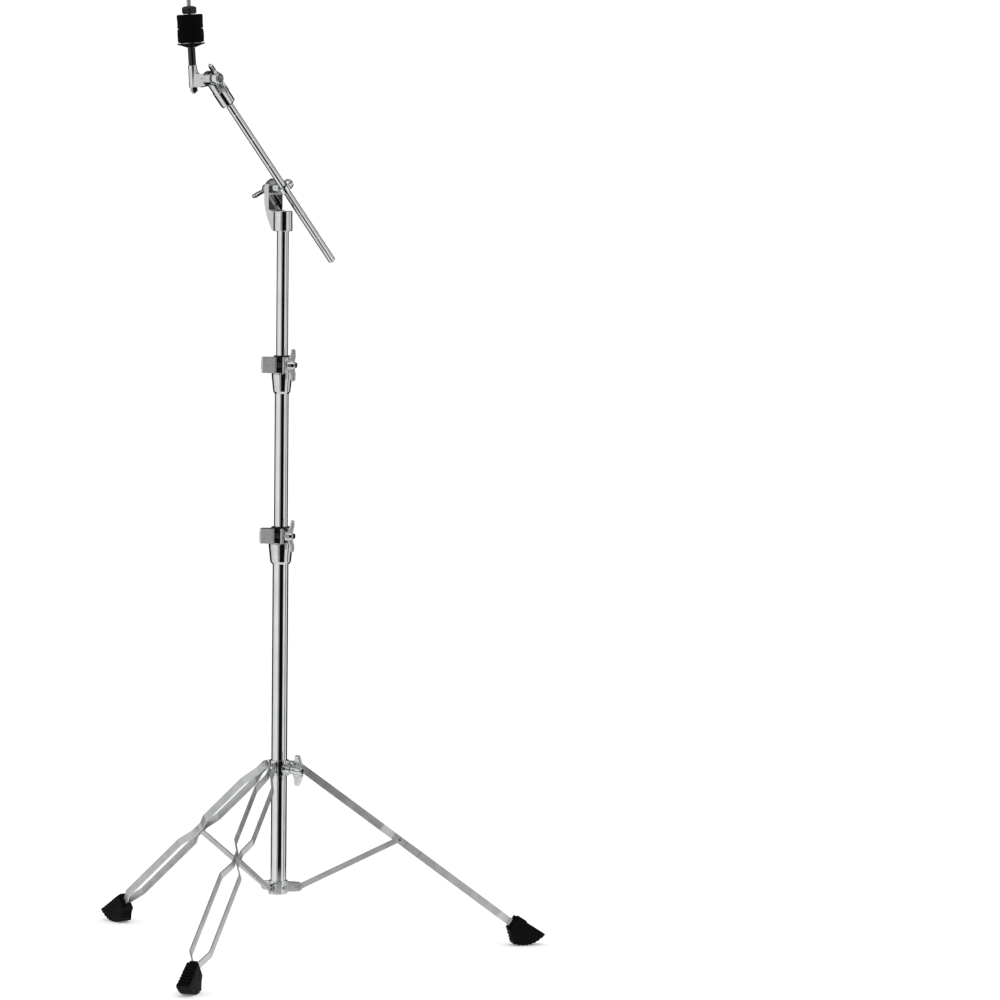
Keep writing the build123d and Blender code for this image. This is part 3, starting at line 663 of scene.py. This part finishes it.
# %% Where the wing nuts sit
UPRIGHT = (0, 0, 1)
BOOM_AXIS_HEIGHT = 1224.6
BOOM_AZIMUTH = radians(-50.0)
BOOM_LEAN = radians(41.4)
ROD_OFFSET = 2.7
ROD_HEAD = 226.0
STACK_OFFSET = -46.0
STACK_LEAN = radians(4.8)

boom_frame = Matrix.Translation((0, 0, BOOM_AXIS_HEIGHT)) @ Matrix.Rotation(BOOM_AZIMUTH, 4, "Z")
rod_direction = Vector((0, -sin(BOOM_LEAN), cos(BOOM_LEAN)))
rod_head = Vector((ROD_OFFSET, 0, 0)) + rod_direction * ROD_HEAD
tilter_frame = boom_frame @ Matrix.Translation(rod_head)
stack_base = tilter_frame @ Matrix.Translation((STACK_OFFSET, 0, 0))
stack_frame = stack_base @ Matrix.Rotation(STACK_LEAN, 4, "X")


def clamp_frame(azimuth):
    """A height clamp's own frame: its ears point to -Y and its screw lies along X."""
    return Matrix.Rotation(radians(azimuth + 90), 4, "Z")


LOWER_CLAMP, UPPER_CLAMP = clamp_frame(-101.0), clamp_frame(-98.0)
SCREW_LINE_Y = -20.5
LOWER_SCREW_Z, UPPER_SCREW_Z = (660.0 + 684.0) / 2, (931.5 + 957.0) / 2
WING_DIP = radians(35)

# name, placement, body and sizes. The sizes are: hub radius and length, half span, where the
# wings leave the hub, where their tips start, tip width, thickness.
WING_NUTS = [
    (
        "lower_clamp_wing_nut",
        frame_at((10.4, SCREW_LINE_Y, LOWER_SCREW_Z), UPRIGHT, (1, 0, 0), LOWER_CLAMP),
        "lower_clamp_nut",
        (7.6, 14.5, 26.0, 4.2, 9.8, 5.8, 5.5),
    ),
    (
        "upper_clamp_wing_nut",
        frame_at((10.4, SCREW_LINE_Y, UPPER_SCREW_Z), UPRIGHT, (1, 0, 0), UPPER_CLAMP),
        "upper_clamp_nut",
        (7.6, 14.5, 26.0, 1.5, 7.0, 7.0, 5.5),
    ),
    (
        "boom_wing_nut",
        frame_at((-31.2, 0, 0), (0, -cos(WING_DIP), -sin(WING_DIP)), (-1, 0, 0), boom_frame),
        "boom_clamp_nut",
        (8.0, 15.5, 25.5, 3.0, 12.5, 10.5, 5.5),
    ),
    (
        "tilter_wing_nut",
        frame_at((9.2, 0, 0), rod_direction, (1, 0, 0), tilter_frame),
        "tilter_clamp_nut",
        (10.0, 12.0, 28.0, 1.2, 4.2, 8.2, 6.0),
    ),
    (
        "tripod_wing_bolt_handle",
        Matrix.Rotation(radians(311.0), 4, "Z") @ frame_at((32.6, 0, 298.0), UPRIGHT, (1, 0, 0)),
        "tripod_wing_bolt",
        (8.0, 25.0, 24.5, 2.0, 7.0, 10.5, 6.0),
    ),
]


# %% Wing nut casting
BORE_RADIUS, BORE_MARGIN = 4.06, 2.0
CASTING_VOXEL = 0.42


def wing_outline(hub_r, hub_length, half_span, wing_foot, tip_start, tip_width, grow):
    """One wing's outline from the hub out to its tip, widened by `grow` all round."""
    tip_end = tip_start + tip_width
    foot_bend = wing_foot + 0.72 * (tip_start - wing_foot)
    crest = (hub_length - 1.0 + tip_end) / 2 + 0.8
    return [
        (0.0, wing_foot - grow),
        (hub_r - 1.5, wing_foot - grow),
        (half_span * 0.6, foot_bend - grow),
        (half_span - 2.0, tip_start - grow),
        (half_span + grow, tip_start + 1.6),
        (half_span + grow, tip_end - 2.2),
        (half_span - 2.2, tip_end + grow),
        (half_span * 0.55, crest + grow),
        (hub_r, hub_length - 1.0 + grow),
        (0.0, hub_length - 1.0 + grow),
    ]


def wing_nut(name, placement, body, sizes):
    hub_r, hub_length, half_span, wing_foot, tip_start, tip_width, thickness = sizes
    hub = [
        (0, 0.4),
        (hub_r - 1.2, 0.4),
        (hub_r - 0.2, 1.4),
        (hub_r - 0.6, hub_length * 0.6),
        (hub_r - 1.8, hub_length - 1.6),
        (hub_r - 3.0, hub_length - 0.4),
        (0, hub_length - 0.4),
    ]
    shells = [lathe(hub)]
    for side in (1, -1):
        for share, grow in ((1.0, -1.2), (0.66, -0.1)):
            outline = wing_outline(*sizes[:-1], grow)
            shells.append(slab([(side * x, z) for x, z in outline], thickness * share))
    piece = new_piece(name + "_casting", shells, FINISHES["chromed_casting"])
    bore_start = Matrix.Translation((0, 0, -BORE_MARGIN * MM))
    bore = (bore_start, BORE_RADIUS, hub_length + 2 * BORE_MARGIN)
    melt(piece, CASTING_VOXEL, 3, [bore])
    smooth(piece, 50)
    settle(piece, placement, body, name)


for name, placement, body, sizes in WING_NUTS:
    wing_nut(name, placement, body, sizes)

# %% [markdown]
# **Rubber feet.** A foot is a wedge with a rounded sole that stays on the floor at any
# spread of the legs. Its outer face carries a raised panel above cross ribs, its sole has
# tread bars, and it is narrower at the top than at the floor. Drawn here in the leg's
# own upright plane: X is the distance from the tubes, Z the height.

# %% Foot outline
SOLE_CENTRE, SOLE_RADIUS = (405.0, 45.0), 45.0
FOOT_TOP, FOOT_TOE = (396.0, 47.0), (441.0, 18.0)
FOOT_BACK, FOOT_HEEL_ANGLE = (380.0, 25.5), 246
FOOT_WIDTH_SOLE, FOOT_WIDTH_TOP = 23.0, 19.0
RIB_PLACES = [0.45, 0.58, 0.71, 0.84]
RIB_GROOVE, RIB_DEPTH = 3.0, 2.3
SOLE_STEP, TOE_SMOOTH = 3, 12
TREAD_DEPTH = 1.6
FOOT_PANEL = [(397.5, 48.2), (412.0, 38.8), (410.5, 35.5), (395.5, 45.2)]
FOOT_COLLAR = [
    (384.5, 31.5),
    (381.0, 26.5),
    (377.6, 28.9),
    (391.6, 48.9),
    (396.2, 46.6),
    (392.5, 42.0),
]
PANEL_WIDTH, COLLAR_WIDTH, HEEL_BAR_WIDTH = 10.0, 15.0, 18.0
HEEL_BARS = (8.0, 13.0, 18.0)
RUBBER_VOXEL = 0.55


def foot_outline():
    """The foot's side outline, with the grooves between its ribs and its tread bars."""
    top, toe = Vector(FOOT_TOP), Vector(FOOT_TOE)
    along = (toe - top).normalized()
    inward = Vector((along.y, -along.x))
    reach = (toe - top).length
    outline = [Vector(FOOT_BACK), top]
    for place in RIB_PLACES:
        middle = top + along * reach * place
        for step, depth in ((-0.5, 0), (-0.35, RIB_DEPTH), (0.35, RIB_DEPTH), (0.5, 0)):
            outline.append(middle + along * step * RIB_GROOVE + inward * depth)
    outline.append(toe)
    centre = Vector(SOLE_CENTRE)
    start = math.degrees(math.atan2(toe.y - centre.y, toe.x - centre.x)) % 360
    degree = start - SOLE_STEP
    while degree > FOOT_HEEL_ANGLE:
        tread = int((start - degree) / SOLE_STEP) % 3 == 2
        groove = tread and degree < start - TOE_SMOOTH
        radius = SOLE_RADIUS - (TREAD_DEPTH if groove else 0)
        outline.append(centre + radius * Vector((cos(radians(degree)), sin(radians(degree)))))
        degree -= SOLE_STEP
    heel_angle = radians(FOOT_HEEL_ANGLE)
    heel = centre + SOLE_RADIUS * Vector((cos(heel_angle), sin(heel_angle)))
    hollow = (heel + Vector(FOOT_BACK)) / 2 + Vector((1.4, 0.8))
    outline += [heel, hollow]
    return [tuple(point) for point in outline]


def rubber_foot(side, azimuth):
    shells = [slab(foot_outline(), FOOT_WIDTH_SOLE)]
    shells.append(slab(FOOT_PANEL, PANEL_WIDTH))
    shells.append(slab(FOOT_COLLAR, COLLAR_WIDTH))
    for low in HEEL_BARS:
        near, high = 386.5 - low * 0.3, low + 2
        bar = [(near, low), (near + 4, low), (near + 4, high), (near, high)]
        shells.append(slab(bar, HEEL_BAR_WIDTH))
    piece = new_piece(f"rubber_foot_{side}", shells, FINISHES["foot_rubber"])
    melt(piece, RUBBER_VOXEL, 3)
    for point in piece.data.vertices:
        share = min(max(point.co.z / (FOOT_TOP[1] * MM), 0.0), 1.0)
        point.co.y *= 1.0 + share * (FOOT_WIDTH_TOP / FOOT_WIDTH_SOLE - 1.0)
        point.co.z = max(point.co.z, 0.0)
    smooth(piece, 60)
    placement = Matrix.Rotation(radians(azimuth), 4, "Z")
    settle(piece, placement, f"leg_{side}", f"leg_{side}_foot")


for side, azimuth in (("right", 11.0), ("left", 131.0), ("front", 251.0)):
    rubber_foot(side, azimuth)

# %% [markdown]
# **Felts.** Two thick discs of pressed wool hold the cymbal. Felt is cut from a sheet, so
# its sides are a little hollow and ragged and its edges soft, and use leaves the lower
# one squashed and bulged. It is too stiff for a cloth simulation to change, so its
# outline is turned on a lathe and noise pushes its skin in and out.

# %% Felt discs
FELT_RADIUS, FELT_BORE, FELT_THICKNESS = 20.6, 5.3, 22.0
FELT_BOTTOM = 56.8


def felt_profile(bottom, bulge, edge):
    """Outline of one felt: bulge is how far its side swells, edge its corner radius."""
    outline = [(FELT_BORE, bottom + 1.0), (FELT_BORE + 1.0, bottom)]
    outline += [(FELT_RADIUS * share, bottom) for share in (0.45, 0.6, 0.75)]
    low, high = bottom + edge, bottom + FELT_THICKNESS - edge
    for step in range(7):
        turned = radians(-90 + 15 * step)
        outline.append((FELT_RADIUS - edge + edge * cos(turned), low + edge * sin(turned)))
    for step in range(1, 14):
        share = step / 14
        outline.append((FELT_RADIUS + bulge * sin(pi * share), low + (high - low) * share))
    for step in range(7):
        turned = radians(15 * step)
        outline.append((FELT_RADIUS - edge + edge * cos(turned), high + edge * sin(turned)))
    top = bottom + FELT_THICKNESS
    outline += [(FELT_RADIUS * share, top) for share in (0.75, 0.6, 0.45)]
    return outline + [(FELT_BORE + 1.0, top), (FELT_BORE, top - 1.0)]


def felt_disc(name, bottom, bulge, edge, seed):
    disc = lathe(felt_profile(bottom, bulge, edge), 120)
    piece = new_piece("wool_" + name, [disc], FINISHES["black_felt"])
    finer = piece.modifiers.new("finer", "SUBSURF")
    finer.levels = finer.render_levels = 1
    bake(piece)
    for point in piece.data.vertices:
        place = point.co / MM
        outward = Vector((place.x, place.y, 0)).normalized()
        rim = min(max((Vector((place.x, place.y)).length - 12.0) / 6.0, 0.0), 1.0)
        slow = noise.noise(place * 0.09 + Vector((seed, 0, 0)))
        rough = noise.noise(place * 0.9 + Vector((0, seed, 0)))
        point.co += outward * rim * (0.55 * slow + 0.22 * rough - 0.1) * MM
    smooth(piece, 80)
    settle(piece, stack_frame, "cymbal_tilter", name)


felt_disc("felt_lower", FELT_BOTTOM, 0.25, 2.6, 3.0)
felt_disc("felt_upper", FELT_BOTTOM + FELT_THICKNESS + 0.1, -0.35, 2.2, 11.0)

# %% [markdown]
# ## Repeats
# Grip ribs on the top nut, the teeth of the two ratchets and the screw threads repeat by
# rule, so Geometry Nodes make them. One tree sets copies of a small bar round a circle,
# another winds a thread along a helix. Each result is baked to a plain mesh.


# %% Ribs round a circle
def rib_ring_tree(finish):
    """Copies of a rounded bar round the Z axis; inputs in metres."""
    tree = bpy.data.node_groups.new("rib_ring", "GeometryNodeTree")
    tree.interface.new_socket("Geometry", in_out="OUTPUT", socket_type="NodeSocketGeometry")
    sockets = {}
    for label, kind in (
        ("Count", "NodeSocketInt"),
        ("Radius", "NodeSocketFloat"),
        ("Size", "NodeSocketVector"),
        ("Height", "NodeSocketFloat"),
    ):
        socket = tree.interface.new_socket(label, in_out="INPUT", socket_type=kind)
        sockets[label] = socket.identifier
    given = add_node(tree, "NodeGroupInput").outputs
    circle = add_node(
        tree, "GeometryNodeMeshCircle", links={"Vertices": given["Count"], "Radius": given["Radius"]}
    )
    bar = add_node(
        tree, "GeometryNodeMeshCylinder", {"Vertices": 8, "Radius": 0.5, "Depth": 1.0}
    ).outputs["Mesh"]
    shaped = add_node(
        tree, "GeometryNodeTransform", links={"Geometry": bar, "Scale": given["Size"]}
    )
    place = add_node(tree, "GeometryNodeInputPosition").outputs[0]
    turn = add_node(tree, "FunctionNodeAlignRotationToVector", links={"Vector": place}, axis="X")
    copies = add_node(
        tree,
        "GeometryNodeInstanceOnPoints",
        links={
            "Points": circle.outputs[0],
            "Instance": shaped.outputs[0],
            "Rotation": turn.outputs[0],
        },
    )
    lift = add_node(tree, "ShaderNodeCombineXYZ", links={"Z": given["Height"]})
    lifted = add_node(
        tree,
        "GeometryNodeTransform",
        links={"Geometry": copies.outputs[0], "Translation": lift.outputs[0]},
    )
    real = add_node(tree, "GeometryNodeRealizeInstances", links={"Geometry": lifted.outputs[0]})
    coated = add_node(
        tree, "GeometryNodeSetMaterial", {"Material": finish}, {"Geometry": real.outputs[0]}
    )
    add_node(tree, "NodeGroupOutput", links={"Geometry": coated.outputs[0]})
    return tree, sockets


def grown(name, tree, sockets, values):
    """Run a tree on an empty mesh with these inputs and keep its result as a piece."""
    piece = bpy.data.objects.new(name, bpy.data.meshes.new(name))
    scene.collection.objects.link(piece)
    grow = piece.modifiers.new("grow", "NODES")
    grow.node_group = tree
    for label, value in values.items():
        grow[sockets[label]] = value
    bake(piece)
    return piece


# name, slot, count, radius, rib size, height, placement, body
RIB_RINGS = [
    ("top_nut_grip_ribs", "black_plastic", 30, 9.5, (1.2, 1.0, 7.0), 105.8, stack_frame, "cymbal_nut"),
    (
        "boom_ratchet_teeth_fixed",
        "chromed_casting",
        40,
        10.4,
        (0.5, 0.8, 2.2),
        -17.1,
        frame_at((0, 0, 0), (0, 1, 0), (1, 0, 0), boom_frame),
        "upper_stage",
    ),
    (
        "boom_ratchet_teeth_turning",
        "chromed_casting",
        40,
        10.4,
        (0.5, 0.8, 2.2),
        -13.9,
        frame_at((0, 0, 0), (0, 1, 0), (1, 0, 0), boom_frame),
        "boom_tilter",
    ),
]
for name, slot, count, radius, size, height, placement, body in RIB_RINGS:
    tree, sockets = rib_ring_tree(FINISHES[slot])
    values = {
        "Count": count,
        "Radius": radius * MM,
        "Size": [length * MM for length in size],
        "Height": height * MM,
    }
    settle(smooth(grown(name, tree, sockets, values)), placement, body)


# %% [markdown]
# **Screw threads.** The stack rod is threaded at both ends and the clamp screws show a
# little thread between the block and the ear.


# %% Screw threads
def thread_tree(finish):
    """A ridge wound round the Z axis; inputs in metres and turns."""
    tree = bpy.data.node_groups.new("screw_thread", "GeometryNodeTree")
    tree.interface.new_socket("Geometry", in_out="OUTPUT", socket_type="NodeSocketGeometry")
    sockets = {}
    for label in ("Turns", "Radius", "Length", "Ridge", "Height"):
        socket = tree.interface.new_socket(label, in_out="INPUT", socket_type="NodeSocketFloat")
        sockets[label] = socket.identifier
    given = add_node(tree, "NodeGroupInput").outputs
    helix = add_node(
        tree,
        "GeometryNodeCurveSpiral",
        {"Resolution": 28},
        {
            "Rotations": given["Turns"],
            "Start Radius": given["Radius"],
            "End Radius": given["Radius"],
            "Height": given["Length"],
        },
    )
    section = add_node(
        tree, "GeometryNodeCurvePrimitiveCircle", {"Resolution": 4}, {"Radius": given["Ridge"]}
    )
    wound = add_node(
        tree,
        "GeometryNodeCurveToMesh",
        {"Fill Caps": True},
        {"Curve": helix.outputs[0], "Profile Curve": section.outputs[0]},
    )
    lift = add_node(tree, "ShaderNodeCombineXYZ", links={"Z": given["Height"]})
    lifted = add_node(
        tree,
        "GeometryNodeTransform",
        links={"Geometry": wound.outputs[0], "Translation": lift.outputs[0]},
    )
    real = add_node(tree, "GeometryNodeRealizeInstances", links={"Geometry": lifted.outputs[0]})
    coated = add_node(
        tree, "GeometryNodeSetMaterial", {"Material": finish}, {"Geometry": real.outputs[0]}
    )
    add_node(tree, "NodeGroupOutput", links={"Geometry": coated.outputs[0]})
    return tree, sockets


THREAD_DEPTH = 0.35
# name, slot, shaft radius, pitch, start, length, placement, body
THREADS = [
    ("stack_rod_thread", "bright_steel", 3.0, 1.0, 114.4, 8.6, stack_frame, "cymbal_tilter"),
    ("stack_rod_lower_thread", "bright_steel", 3.0, 1.0, -22.8, 2.0, stack_frame, "cymbal_tilter"),
    (
        "lower_clamp_screw_thread",
        "black_metal",
        4.0,
        1.25,
        -4.4,
        8.8,
        frame_at((0, SCREW_LINE_Y, LOWER_SCREW_Z), UPRIGHT, (1, 0, 0), LOWER_CLAMP),
        "stand_base",
    ),
    (
        "upper_clamp_screw_thread",
        "black_metal",
        4.0,
        1.25,
        -4.4,
        8.8,
        frame_at((0, SCREW_LINE_Y, UPPER_SCREW_Z), UPRIGHT, (1, 0, 0), UPPER_CLAMP),
        "middle_stage",
    ),
]
for name, slot, radius, pitch, start, length, placement, body in THREADS:
    tree, sockets = thread_tree(FINISHES[slot])
    values = {
        "Turns": length / pitch,
        "Radius": radius * MM,
        "Length": length * MM,
        "Ridge": THREAD_DEPTH * MM,
        "Height": start * MM,
    }
    settle(grown(name, tree, sockets, values), placement, body)
